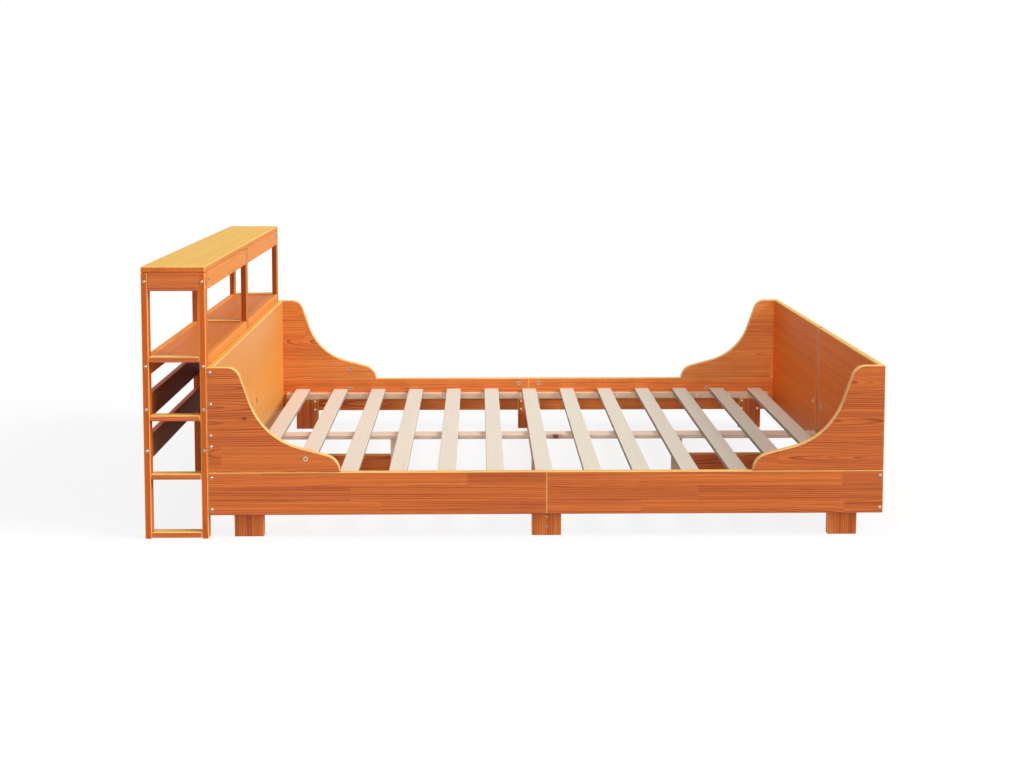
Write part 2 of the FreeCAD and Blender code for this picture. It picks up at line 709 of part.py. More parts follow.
# Screws through the feet into the rails, four to a foot, from the inside.
foot_mid = f"({head_face} + foot_inset + foot_width / 2)"
foot_screw_high = f"({ledger_bottom} - foot_screw_top)"
for side in outward:
    way = reverse(across[side])
    inner = side_face(side, "2 * board")
    for column in (-1, 1):
        for z in (foot_screw_high, f"({foot_screw_high} - foot_screw_spacing)"):
            first = (f"({foot_mid} + {column} * foot_screw_side)", inner, z)
            countersink(feet[side], first, way)
            drill(feet[side], first, way, "screw_radius + thread_fit", f"board + {drill_lead}")
            for index in range(feet_per_side):
                spot = moved(first, (1, 0, 0), f"{index} * {foot_pitch}")
                # A middle foot holds both halves of its rail, with one column of screws in each.
                from_middle = index - (feet_per_side - 1) / 2 or column
                rail = rails[side, "head" if from_middle < 0 else "foot"]
                pilot(rail, moved(spot, way, "board"), way, "screw_length - board")
                add_copy("screws", long_screw, spot, aim(way))
    row_of(feet[side], "X_Axis", foot_pitch, str(feet_per_side))
    keep(feet[side], f"feet_{side}")

# Screws through the ledgers into the rails, in pairs from the middle outwards.
ledger_screw_z = f"({ledger_bottom} + ledger_height - ledger_screw_drop)"
for (side, end), ledger in ledgers.items():
    way = reverse(across[side])
    along = -1 if end == "head" else 1
    for index in range(ledger_screw_pairs):
        for partner in ("0", "ledger_screw_pair"):
            run = f"(ledger_screw_first + {partner} + {index} * {ledger_screw_pitch})"
            x = f"({middle} + {along} * {run})"
            head = (x, side_face(side, "board + ledger_depth"), ledger_screw_z)
            screwed(head, way, ledger, "ledger_depth", rails[side, end])
grouped("ledgers", list(ledgers.values()))

# Cross boards from the middle feet to the middle leg.
cross_mid = "(cross_board_bottom + cross_board_height / 2)"
for side, way in across.items():
    for step in (-1, 1):
        head = (middle, side_face(side, "board"), f"({cross_mid} + {step} * cross_bolt_spacing / 2)")
        mouth = (f"({middle} + board / 2)", (-1, 0, 0))
        bolted(head, way, feet[side], "board", thin_bolt, cross_boards[side], *mouth)
    joint = (middle, f"({outward[side]} * leg_width / 2)", cross_mid)
    dowelled(joint, way, cross_boards[side], legs["middle"])

# Lower boards along the bed's centre line.
joint = (f"({head_face} + leg_inset)", "0", "lower_bolt_height")
dowelled(joint, (1, 0, 0), lower_boards["head"], legs["head"])
joint = (f"({foot_face} - leg_inset)", "0", "lower_bolt_height")
dowelled(joint, (-1, 0, 0), lower_boards["foot"], legs["foot"])
head = (f"({foot_face} + board)", "0", "lower_bolt_height")
beam_line = ("(-board / 2)", (0, 1, 0))  # near face of the lower boards, and the way into them
bolted(head, (-1, 0, 0), stile, "board", thin_bolt, lower_boards["foot"], *beam_line)

# Bookcase: three ladder frames, boards between them, shelves and a top.

post_low = {"back": back_face, "front": f"({bookcase_front} - board)"}
frame_low = {
    "near": side_low("near", "0", "post_width"),
    "middle": "(-post_width / 2)",
    "far": side_low("far", "0", "post_width"),
}
apron_low = {
    "near": side_low("near", "0", "board"),
    "middle": "(-board / 2)",
    "far": side_low("far", "0", "board"),
}
apron_bottom = "(post_height - apron_height)"
apron_mid = "(post_height - apron_height / 2)"
bay_back = f"({back_face} + board)"

posts = {}
for frame, low_y in frame_low.items():
    for depth, low_x in post_low.items():
        name = f"post_{frame}_{depth}"
        post = board(name, (low_x, low_y, "0"), ("board", "post_width", "post_height"))
        posts[frame, depth] = keep(post, name)

top_corner = (back_face, f"(-{half_width})", "post_height")
top_board = board("top_board", top_corner, ("bookcase_depth", f"2 * {half_width}", "top_thickness"))
keep(top_board, "top_board")

# For the back and the front row of posts: the way into the bay, and the posts' outer and inner faces.
end_ways = {
    "back": ((1, 0, 0), back_face, bay_back),
    "front": ((-1, 0, 0), bookcase_front, f"({bookcase_front} - board)"),
}
for frame, low_y in frame_low.items():
    rung_size = (bay_depth, "post_width", "rung_thickness")
    rungs = board(f"rungs_{frame}", (bay_back, low_y, "rung_first"), rung_size)
    apron_name = f"cross_apron_{frame}"
    apron_size = (bay_depth, "board", "apron_height")
    apron = keep(board(apron_name, (bay_back, apron_low[frame], apron_bottom), apron_size), apron_name)
    apron_y = f"({apron_low[frame]} + board / 2)"
    for depth, (way, outer_x, inner_x) in end_ways.items():
        post = posts[frame, depth]
        for step in (-1, 1):
            head = (outer_x, apron_y, f"({apron_mid} + {step} * apron_screw_spacing / 2)")
            screwed(head, way, post, "board", apron)
        rung_y = f"({low_y} + post_width / 2)"
        rung_z = "(rung_first + rung_thickness / 2)"
        drill(rungs, (inner_x, rung_y, rung_z), way, "dowel_radius + thread_fit", "dowel_depth")
        for index in range(sizes["rung_count"]):
            seat = (inner_x, rung_y, f"({rung_z} + {index} * rung_pitch)")
            drill(post, seat, reverse(way), "dowel_radius + thread_fit", "dowel_depth")
            pin = doc.addObject("Part::Cylinder", "dowel")
            bind(pin, "Radius", "dowel_radius")
            bind(pin, "Height", "2 * dowel_depth - dowel_space")
            pin.Placement = FreeCAD.Placement(FreeCAD.Vector(), aim(way))
            place(pin, moved(seat, reverse(way), "(dowel_depth - dowel_space / 2)"))
            fasteners["dowels"].append(pin)
    row_of(rungs, "Z_Axis", "rung_pitch", "rung_count")
    keep(rungs, f"rungs_{frame}")
    for way, _, inner_x in end_ways.values():
        seat = (f"({inner_x} + {way[0]} * apron_dowel_inset)", apron_y, "post_height")
        dowelled(seat, (0, 0, 1), apron, top_board, "dowel_depth", "dowel_short")

long_rows = {
    "top_apron": (apron_bottom, "apron_height"),
    "shelf_rail": ("shelf_rail_bottom", "apron_height"),
    "upper_board": ("upper_board_bottom", "back_board_height"),
    "lower_board": ("lower_board_bottom", "back_board_height"),
}
long_boards = {}
for row, (bottom, tall) in long_rows.items():
    for depth, low_x in post_low.items():
        for side in outward:
            name = f"{row}_{depth}_{side}"
            corner = (low_x, side_low(side, "post_width", bay_width), bottom)
            plank = keep(board(name, corner, ("board", bay_width, tall)), name)
            long_boards[row, depth, side] = plank
            x = f"({low_x} + board / 2)"
            z = f"({bottom} + bolt_rise)"
            way = across[side]
            mouth = (back_face, (1, 0, 0)) if depth == "back" else (bookcase_front, (-1, 0, 0))
            bolted((x, side_face(side), z), way, posts[side, depth], "post_width", deep_bolt, plank, *mouth)
            seat = (x, f"({outward[side]} * post_width / 2)", z)
            dowelled(seat, way, plank, posts["middle", depth])

shelf_top = "(shelf_rail_bottom + apron_height - shelf_drop)"
shelf_mid = f"({shelf_top} - shelf_thickness / 2)"
for side in outward:
    name = f"shelf_{side}"
    corner = (bay_back, side_low(side, "post_width", bay_width), f"({shelf_top} - shelf_thickness)")
    shelf = keep(board(name, corner, (bay_depth, bay_width, "shelf_thickness")), name)
    inner_y = f"({outward[side]} * (post_width / 2 + shelf_dowel_inset))"
    for depth, (way, _, inner_x) in end_ways.items():
        for y in (side_face(side, "post_width + shelf_dowel_inset"), inner_y):
            dowelled((inner_x, y, shelf_mid), way, long_boards["shelf_rail", depth, side], shelf)

# The bookcase's middle front post carries the end of the head's lower board.
head = (f"({bookcase_front} - board)", "0", "lower_bolt_height")
bolted(head, (1, 0, 0), posts["middle", "front"], "board", thin_bolt, lower_boards["head"], *beam_line)

# Screws from the front posts hold the bookcase to the headboard.
for side in outward:
    screw_lines = {
        side: side_face(side, "board + tie_screw_side"),
        "middle": f"({outward[side]} * tie_screw_side)",
    }
    for frame, y in screw_lines.items():
        for z, level in (("tie_screw_low", "lower"), ("tie_screw_high", "upper")):
            head = (f"({bookcase_front} - board)", y, z)
            screwed(head, (1, 0, 0), posts[frame, "front"], "board", panels["head", level, side])

grouped("beam_legs", list(legs.values()))
grouped("lower_boards", list(lower_boards.values()))
grouped("cross_boards", list(cross_boards.values()))
for label, pieces in fasteners.items():
    grouped(label, pieces)

# Check every piece, then write it.

doc.recompute()
for item in doc.Objects:
    if "Invalid" in item.State or "Error" in item.State:
        raise RuntimeError(f"{item.Label} could not be computed: {item.State}")
os.makedirs("parts", exist_ok=True)
for label, item in sub_parts.items():
    if item.Shape.isNull() or not item.Shape.isValid():
        raise RuntimeError(f"{label} has no valid shape")
    print(label, len(item.Shape.Solids), round(item.Shape.Volume))
    item.Shape.exportStep(f"parts/{label}.step")
print(len(sub_parts), "sub-parts")
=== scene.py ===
import math

import bmesh
import bpy
from mathutils import Matrix, Vector


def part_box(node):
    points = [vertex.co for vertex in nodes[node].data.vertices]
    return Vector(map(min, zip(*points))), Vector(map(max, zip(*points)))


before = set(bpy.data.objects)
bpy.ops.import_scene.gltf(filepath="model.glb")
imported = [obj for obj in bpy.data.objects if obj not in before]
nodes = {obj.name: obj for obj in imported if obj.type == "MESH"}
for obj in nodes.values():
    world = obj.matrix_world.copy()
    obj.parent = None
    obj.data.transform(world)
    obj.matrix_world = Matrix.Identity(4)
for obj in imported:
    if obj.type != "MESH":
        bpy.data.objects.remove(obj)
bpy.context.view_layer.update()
scene = bpy.context.scene
print("frame loaded:", len(nodes), "nodes")


# Small calls that add shader nodes and wire them

def addTo(tree):
    def add(kind, inputs=None, **settings):
        node = tree.nodes.new("ShaderNode" + kind)
        for name, value in settings.items():
            setattr(node, name, value)
        for name, value in (inputs or {}).items():
            wire(tree, value, node.inputs[name])
        return node

    def calc(operation, *values, clamp=False):
        node = add("Math", operation=operation, use_clamp=clamp)
        for socket, value in zip(node.inputs, values):
            wire(tree, value, socket)
        return node.outputs[0]

    def ramp(value, low, high, start, end, **settings):
        return add("MapRange", {0: value, 1: low, 2: high, 3: start, 4: end}, **settings).outputs[0]

    def blend(share, first, second, **settings):
        isWired = [isinstance(end, bpy.types.NodeSocket) for end in (first, second)]
        ends = [end if wired else (*end, 1) for end, wired in zip((first, second), isWired)]
        return add("Mix", {"Factor": share, 6: ends[0], 7: ends[1]}, data_type="RGBA", **settings).outputs[2]

    return add, calc, ramp, blend


def wire(tree, value, socket):
    if isinstance(value, bpy.types.NodeSocket):
        tree.links.new(value, socket)
    else:
        socket.default_value = value


def newGroup(name, inputs, outputs):
    tree = bpy.data.node_groups.new(name, "ShaderNodeTree")
    for label, kind in inputs:
        tree.interface.new_socket(label, in_out="INPUT", socket_type="NodeSocket" + kind)
    for label, kind in outputs:
        tree.interface.new_socket(label, in_out="OUTPUT", socket_type="NodeSocket" + kind)
    return tree, tree.nodes.new("NodeGroupInput").outputs, tree.nodes.new("NodeGroupOutput").inputs


# Growth rings, fibres and a knot, in a board's own axes: X along the grain, Y across, Z through the board

figure = {
    "ringPitch": 0.0058,         # one year's growth
    "ringSpread": 0.7,           # how much the pitch varies from strip to strip
    "pithReach": 0.15,           # how far to the side of its strip a trunk's middle may lie
    "pithDepth": 0.035,          # how deep under the face it may lie
    "tilt": 0.16,                # slope of the trunk's middle, which draws the arches
    "wave": (2.4, 14.0, 14.0),   # waves per metre in the rings
    "waveHeight": 0.013,
    "fade": (1.5, 9.0, 9.0),     # patches where the rings show less
    "streaks": (2.2, 300.0, 300.0),
    "bands": (0.9, 60.0, 60.0),
    "flecks": (14.0, 620.0, 620.0),
    "knotRadius": 0.0060,
    "knotHalo": 0.018,           # reddish wood round a knot
    "knotPush": 0.012,           # how far the rings step aside round it
    "knotReach": 0.04,
    "knotShape": (0.55, 1.0, 0.3),       # longer along the grain
    "knotPart": 0.5,                     # how much its core and the reddish wood each add
    "stripShift": (37.0, 37.0, 37.0),    # sets the noise of one strip apart from the next
    "latePeak": 0.90,                    # where in a year's growth the line is darkest
    "lateWood": ((0.55, 0.10), (0.97, 0.15)),    # place in the year and darkness, before and after the peak
    "faintestYear": 0.25,
    "fadeRange": (0.3, 0.65, 0.35),      # noise where rings are faintest, noise where full, how faint
    "fleckRange": (0.70, 0.78, 0.18),    # noise where a fleck starts, noise where it is full, how strong
    "streakShare": 0.6,                  # the rest of the fibre is the broader bands
}


def makeFigure():
    tree, given, made = newGroup(
        "pineFigure",
        (("Place", "Vector"), ("Strip", "Vector"), ("Seed", "Float"),
         ("Knot", "Vector"), ("KnotSize", "Float")),
        (("Ring", "Float"), ("Fibre", "Float"), ("Tone", "Float"), ("Knot", "Float")),
    )
    add, calc, ramp, _ = addTo(tree)

    place = add("SeparateXYZ", {0: given["Place"]}).outputs
    strip = add("SeparateXYZ", {0: given["Strip"]}).outputs
    row = calc("ROUND", calc("DIVIDE", place[1], strip[1]))
    layer = calc("ROUND", calc("DIVIDE", place[2], strip[2]))
    rowVector = add("CombineXYZ", {0: row, 1: given["Seed"], 2: layer}).outputs[0]
    rowChance = add("TexWhiteNoise", {"Vector": rowVector}).outputs["Value"]
    column = calc("ROUND", calc("ADD", calc("DIVIDE", place[0], strip[0]), rowChance))
    cell = add("CombineXYZ", {0: column, 1: row, 2: calc("ADD", layer, given["Seed"])}).outputs[0]
    chance = add("TexWhiteNoise", {"Vector": cell}).outputs
    draw = add("SeparateColor", {0: chance["Color"]}).outputs
    shift = add("VectorMath", {0: chance["Color"], 1: figure["stripShift"]}, operation="MULTIPLY").outputs[0]

    def noise(kind, detail):
        drawn = add("VectorMath", {0: given["Place"], 1: figure[kind], 2: shift}, operation="MULTIPLY_ADD")
        return add("TexNoise", {"Vector": drawn.outputs[0], "Scale": 1.0, "Detail": detail}).outputs[0]

    # a knot pushes the rings aside, and has a core with reddish wood round it
    toKnot = add("VectorMath", {0: given["Place"], 1: given["Knot"]}, operation="SUBTRACT").outputs[0]
    knotOval = add("VectorMath", {0: toKnot, 1: figure["knotShape"]}, operation="MULTIPLY").outputs[0]
    knotFar = add("VectorMath", {0: knotOval}, operation="LENGTH").outputs["Value"]
    knotFar = calc("DIVIDE", knotFar, given["KnotSize"])
    radius, part = figure["knotRadius"], figure["knotPart"]
    push = ramp(knotFar, 0.0, figure["knotReach"], figure["knotPush"], 0.0, interpolation_type="SMOOTHERSTEP")
    core = ramp(knotFar, radius / 2, radius, part, 0.0, interpolation_type="SMOOTHSTEP")
    halo = ramp(knotFar, radius, figure["knotHalo"], part, 0.0, interpolation_type="SMOOTHSTEP")
    knotMask = calc("ADD", core, halo)

    # distance to the trunk's middle, counted in years
    side = calc("SUBTRACT", place[1], calc("MULTIPLY", row, strip[1]))
    side = calc("ADD", side, calc("MULTIPLY", calc("SUBTRACT", draw[0], 0.5), figure["pithReach"]))
    slope = calc("MULTIPLY", calc("MULTIPLY", calc("SUBTRACT", draw[2], 0.5), figure["tilt"]), place[0])
    depth = calc("ADD", calc("ADD", place[2], slope), calc("MULTIPLY", draw[1], figure["pithDepth"]))
    trunk = calc("SQRT", calc("ADD", calc("MULTIPLY", side, side), calc("MULTIPLY", depth, depth)))
    trunk = calc("ADD", trunk, calc("MULTIPLY", noise("wave", 2.0), figure["waveHeight"]))
    trunk = calc("ADD", trunk, push)
    spreadLow = 1 - figure["ringSpread"] / 2
    pitch = calc("ADD", calc("MULTIPLY", draw[2], figure["ringSpread"]), spreadLow)
    years = calc("DIVIDE", trunk, calc("MULTIPLY", pitch, figure["ringPitch"]))
    ring = add("ValToRGB", {0: calc("FRACT", years)})
    ring.color_ramp.elements[0].color = (0, 0, 0, 1)
    ring.color_ramp.elements[1].position = figure["latePeak"]
    for spot, grey in figure["lateWood"]:
        ring.color_ramp.elements.new(spot).color = (grey, grey, grey, 1)

    # some years grow a darker line than others, and every line fades in and out
    yearVector = add("CombineXYZ", {0: calc("FLOOR", years), 1: chance["Value"]}).outputs[0]
    yearChance = add("TexWhiteNoise", {"Vector": yearVector}).outputs["Value"]
    faintest = figure["faintestYear"]
    year = calc("ADD", calc("MULTIPLY", yearChance, 1 - faintest), faintest)
    fade = ramp(noise("fade", 1.0), *figure["fadeRange"], 1.0)
    rings = calc("MULTIPLY", calc("MULTIPLY", ring.outputs[0], year), fade)

    # fine streaks, broader bands and short flecks along the grain
    share = figure["streakShare"]
    fleckStart, fleckFull, fleckStrength = figure["fleckRange"]
    streaks = calc("MULTIPLY", noise("streaks", 3.0), share)
    bands = calc("MULTIPLY", noise("bands", 2.0), 1 - share)
    flecks = ramp(noise("flecks", 0.0), fleckStart, fleckFull, 0.0, fleckStrength)
    fibre = calc("ADD", calc("ADD", streaks, bands), flecks)

    wire(tree, rings, made["Ring"])
    wire(tree, fibre, made["Fibre"])
    wire(tree, chance["Value"], made["Tone"])
    wire(tree, knotMask, made["Knot"])
    return tree


pineFigure = makeFigure()


# Finishes: stained boards, and the bare ones under the mattress

stain = {
    "early": (0.82, 0.205, 0.034),
    "late": (0.34, 0.052, 0.010),
    "litEarly": (0.84, 0.510, 0.100),    # painted light on faces that look up or to the foot end, which the lamps light most
    "litLate": (0.66, 0.340, 0.055),
    # rounded edges: partly worn through the stain, partly a painted highlight
    "edge": (0.98, 0.600, 0.180),
    "knot": (0.07, 0.014, 0.004),
    "back": (0.15, 0.068, 0.010),          # painted shade for sides in shade; on the footboard's outer face it tones the brighter panel stain down
    "ringShare": 1.25,
    "fibreShare": 1.8,
    "toneShare": 0.24,
    "specular": 0.3,
    "coat": 0.12,
    "coatRoughness": 0.35,
    "roughness": (0.42, 0.60),
    "grainDepth": 0.0004,
}
plainStain = dict(stain, ringShare=0.12, fibreShare=0.5, toneShare=0.06)
calmStain = dict(stain, ringShare=0.36, fibreShare=1.0, toneShare=0.10)
mattStain = dict(calmStain, specular=0.12, coat=0.02)
panelStain = dict(mattStain, early=(1.0, 0.235, 0.029), late=(0.40, 0.052, 0.007))
apronStain = dict(mattStain, early=(0.86, 0.195, 0.024), late=(0.40, 0.054, 0.008), ringShare=0.22,
                  litEarly=(0.90, 0.450, 0.062), litLate=(0.68, 0.290, 0.035))
topStain = dict(mattStain, litEarly=(0.82, 0.470, 0.066), litLate=(0.58, 0.300, 0.032), ringShare=0.5)
postStain = dict(mattStain, early=(0.74, 0.145, 0.017), late=(0.30, 0.036, 0.005), ringShare=0.5)
# painted shade: a darker copy of the post stain for the middle and far posts, which stand in shade
shadedPostStain = dict(postStain, early=(0.50, 0.092, 0.011), late=(0.20, 0.024, 0.004))
shelfStain = dict(mattStain, early=(0.82, 0.185, 0.018), late=(0.38, 0.052, 0.006))
brightStain = dict(stain, early=(1.0, 0.300, 0.058), late=(0.44, 0.080, 0.016))
farWingStain = dict(stain, early=(1.0, 0.375, 0.086), late=(0.50, 0.105, 0.026))
stripedStain = dict(stain, early=(0.86, 0.225, 0.033), late=(0.32, 0.050, 0.009), toneShare=0.40)
bare = {
    "early": (0.79, 0.720, 0.605),
    "late": (0.67, 0.565, 0.440),
    "litEarly": (0.84, 0.745, 0.620),
    "litLate": (0.72, 0.590, 0.450),
    "edge": (0.86, 0.780, 0.660),
    "knot": (0.22, 0.060, 0.025),
    # painted shade for the slats' long sides
    "back": (0.20, 0.130, 0.080),
    "ringShare": 0.30,
    "fibreShare": 0.8,
    "toneShare": 0.08,
    "specular": 0.3,
    "coat": 0.0,
    "coatRoughness": 0.3,
    "roughness": (0.60, 0.78),
    "grainDepth": 0.0004,
}
beamPine = dict(bare, early=(0.79, 0.600, 0.460), late=(0.62, 0.410, 0.280), edge=(0.80, 0.640, 0.500),
                litEarly=(0.79, 0.600, 0.460), litLate=(0.62, 0.410, 0.280))
ledgerPine = dict(bare, early=(0.84, 0.640, 0.450), late=(0.62, 0.410, 0.250), edge=(0.80, 0.600, 0.430),
                  litEarly=(0.84, 0.640, 0.450), litLate=(0.62, 0.410, 0.250))
surface = {                      # the same for every finish; ranges are parts of the face's normal
    "faceRange": (0.6, 0.9),     # where a side's painted light and shade start, and where they are full
    "roundRange": (0.99, 0.90),  # a flat face, and a fully rounded edge
    "underRange": (-0.3, 0.1),   # edges that look down lie in shade and get no pale edge
    "raisedRange": (0.15, 0.4),  # edges that look up
    "wearAndHighlightLimit": 1.35,            # coarse fibre takes less of the pale edge than fine
    "fibreMiddle": 0.42,         # fibre that leaves the stain as it is
    "ringHeight": 0.5,           # how far the rings stand up, next to the fibre
    "bump": 0.6,
}


def axis(letter):
    return Vector([float(letter == other) for other in "XYZ"])


def pine(name, finish, along, through, centre, strip, seed, knot, upLight=0.0, footLight=0.0,
         edgeWearAndHighlight=1.0, raisedWearAndHighlight=1.0, shadeSides=(0.0, 0.0)):
    material = bpy.data.materials.new(name)
    material.use_nodes = True
    tree = material.node_tree
    tree.nodes.clear()
    add, calc, ramp, blend = addTo(tree)

    # board axes: X along the grain, Z through the board
    turn = Matrix((axis(along), axis(through).cross(axis(along)), axis(through)))
    mapping = add("Mapping", {"Location": -(turn @ centre), "Rotation": turn.to_euler()})
    wire(tree, add("TexCoord").outputs["Object"], mapping.inputs["Vector"])
    pattern = add("Group", node_tree=pineFigure)
    wire(tree, mapping.outputs[0], pattern.inputs["Place"])
    wire(tree, strip, pattern.inputs["Strip"])
    wire(tree, seed, pattern.inputs["Seed"])
    knotPlace, knotSize = knot
    wire(tree, turn @ (Vector(knotPlace) - centre), pattern.inputs["Knot"])
    wire(tree, knotSize, pattern.inputs["KnotSize"])
    ring, fibre, tone, knotMask = pattern.outputs

    # late wood takes the stain darker, and so do the fine streaks
    streaks = calc("MULTIPLY", calc("SUBTRACT", fibre, surface["fibreMiddle"]), finish["fibreShare"])
    dark = calc("ADD", calc("MULTIPLY", ring, finish["ringShare"]), streaks)
    dark = calc("ADD", dark, calc("MULTIPLY", tone, finish["toneShare"]), clamp=True)
    side = blend(dark, finish["early"], finish["late"])
    litColour = blend(dark, finish["litEarly"], finish["litLate"])

    # which way the face looks: faces that look up or to the foot end take painted light
    normal = add("NewGeometry").outputs["Normal"]
    faces = add("SeparateXYZ", {0: normal}).outputs
    low, high = surface["faceRange"]
    up = ramp(faces[2], low, high, 0.0, upLight)
    foot = ramp(faces[0], low, high, 0.0, footLight)
    colour = blend(calc("MAXIMUM", up, foot), side, litColour)
    # painted shade: faces turned to the head end or the foot end darken towards the shade brown, as much as
    # each family asks
    backDull = ramp(faces[0], -low, -high, 0.0, shadeSides[0])
    footShadeAndTone = ramp(faces[0], low, high, 0.0, shadeSides[1])
    colour = blend(calc("ADD", backDull, footShadeAndTone), colour, finish["back"])

    # rounded edges are paler, unevenly: partly worn through the stain, partly a painted highlight, and none
    # on edges that look down, where shade falls
    size = add("VectorMath", {0: normal}, operation="ABSOLUTE").outputs[0]
    parts = add("SeparateXYZ", {0: size}).outputs
    flat = calc("MAXIMUM", calc("MAXIMUM", parts[0], parts[1]), parts[2])
    flatEdge, roundEdge = surface["roundRange"]
    rounded = ramp(flat, roundEdge, flatEdge, edgeWearAndHighlight, 0.0)
    notUnderneath = ramp(faces[2], *surface["underRange"], 0.0, 1.0)
    raised = ramp(faces[2], *surface["raisedRange"], 1.0, raisedWearAndHighlight)
    smooth = calc("SUBTRACT", surface["wearAndHighlightLimit"], fibre)
    wornAndHighlit = calc("MULTIPLY", calc("MULTIPLY", rounded, notUnderneath), smooth, clamp=True)
    colour = blend(calc("MULTIPLY", wornAndHighlit, raised), colour, finish["edge"])
    colour = blend(knotMask, colour, finish["knot"])

    low, high = finish["roughness"]
    roughness = calc("ADD", calc("MULTIPLY", fibre, high - low), low)
    height = calc("ADD", calc("MULTIPLY", ring, surface["ringHeight"]), fibre)
    bump = add("Bump", {"Height": height, "Distance": finish["grainDepth"], "Strength": surface["bump"]})
    shader = add("BsdfPrincipled", {
        "Base Color": colour, "Roughness": roughness, "Normal": bump.outputs[0],
        "Specular IOR Level": finish["specular"],
        "Coat Weight": finish["coat"], "Coat Roughness": finish["coatRoughness"],
    })
    wire(tree, shader.outputs[0], add("OutputMaterial").inputs[0])
    return material


plating = {
    "cloudScale": 700.0,
    "cloudRoughness": 0.25,
    "cloudHeight": 0.0001,
    "bump": 0.4,
    "socketReach": 0.006,               # how far a surface looks for the walls of a socket
    "socketShadeRange": (0.35, 0.85, 0.05),  # openness where it is darkest, openness where it is full, how dark
}


def plated(name, colour, tarnish, smoothest):
    material = bpy.data.materials.new(name)
    material.use_nodes = True
    tree = material.node_tree
    tree.nodes.clear()
    add, calc, ramp, blend = addTo(tree)
    place = add("TexCoord").outputs["Object"]
    cloud = add("TexNoise", {"Vector": place, "Scale": plating["cloudScale"], "Detail": 3.0}).outputs[0]

    # painted shade: the steel darkens where it is enclosed, inside sockets
    around = {"Distance": plating["socketReach"]}
    openness = add("AmbientOcclusion", around, samples=8, only_local=True).outputs["AO"]
    socket = ramp(openness, *plating["socketShadeRange"], 1.0)
    tint = blend(1.0, blend(cloud, colour, tarnish), socket, blend_type="MULTIPLY")
    roughness = calc("ADD", calc("MULTIPLY", cloud, plating["cloudRoughness"]), smoothest)
    bump = add("Bump", {"Height": cloud, "Distance": plating["cloudHeight"], "Strength": plating["bump"]})
    shader = add("BsdfPrincipled", {
        "Base Color": tint, "Roughness": roughness, "Metallic": 1.0, "Normal": bump.outputs[0],
    })
    wire(tree, shader.outputs[0], add("OutputMaterial").inputs[0])
    return material


# Which way each family of boards was sawn, how its strips are glued, its finish, and the painted light and
# shade on its faces

glued = (0.62, 0.044, 1.0)       # length, width and depth of one glued strip
solid = (5.0, 5.0, 5.0)          # one strip makes the whole board
slats = {"count": 13, "width": 0.057}
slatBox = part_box("slats")
slatPitch = (slatBox[1][0] - slatBox[0][0] - slats["width"]) / (slats["count"] - 1)
innerPost = {"along": "Z", "through": "X", "strip": solid, "finish": shadedPostStain, "footLight": 0.3,
             "raisedWearAndHighlight": 0.0, "edgeWearAndHighlight": 0.3}
